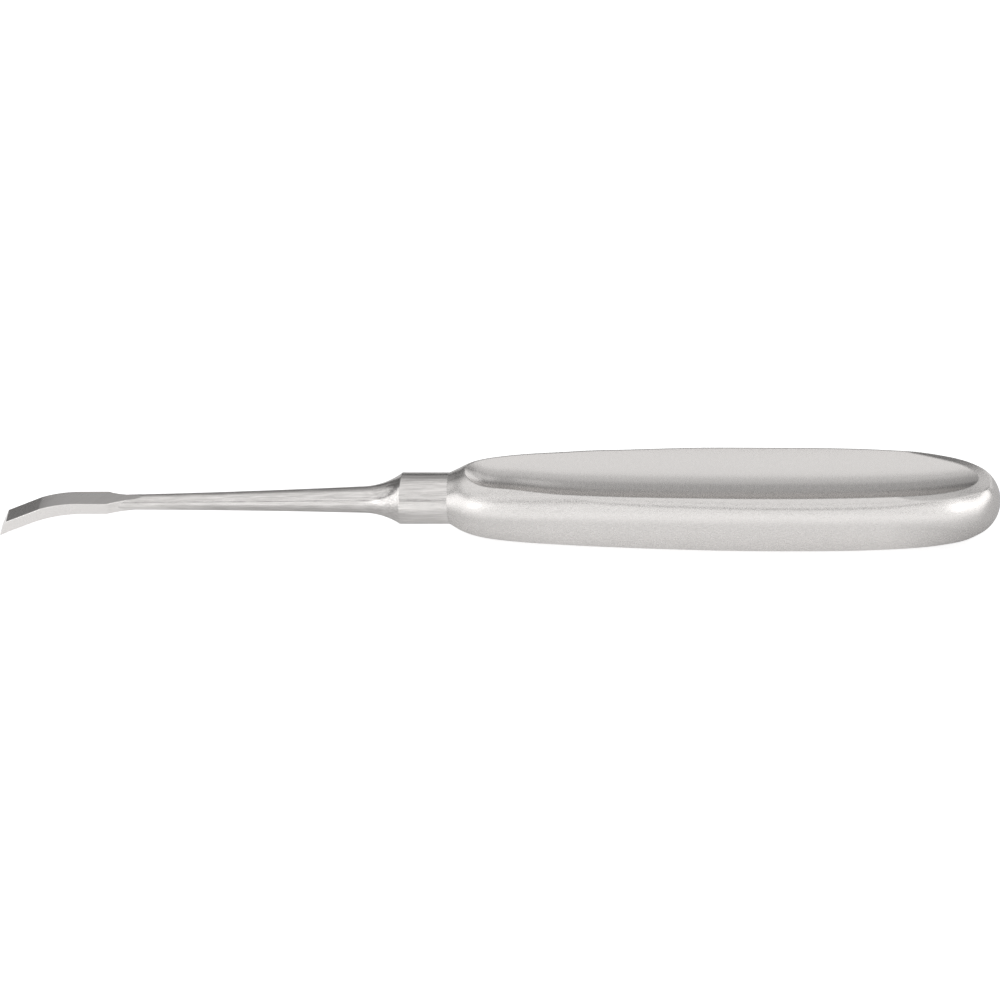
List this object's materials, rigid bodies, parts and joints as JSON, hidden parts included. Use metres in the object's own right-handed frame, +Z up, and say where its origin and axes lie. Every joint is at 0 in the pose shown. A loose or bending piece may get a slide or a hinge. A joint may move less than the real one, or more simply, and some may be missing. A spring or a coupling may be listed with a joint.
{
  "type": "periosteal elevator",
  "caption": "One-piece steel periosteal elevator with a heavy dished handle, a round tapering shank and a narrow bent blade that ends in a chisel edge.",
  "frame": {"origin": "on the collar's axis, half way along the collar", "axes": "+X along the instrument towards the butt of the handle, with the blade at -X; +Z up, out of the open dish; +Y across"},
  "size_m": [0.2105, 0.0232, 0.0179],
  "materials": {
    "satin_steel": "satin, finely blasted"
  },
  "bodies": {
    "root": {"periosteal_elevator": "satin_steel"}
  },
  "joints": []
}
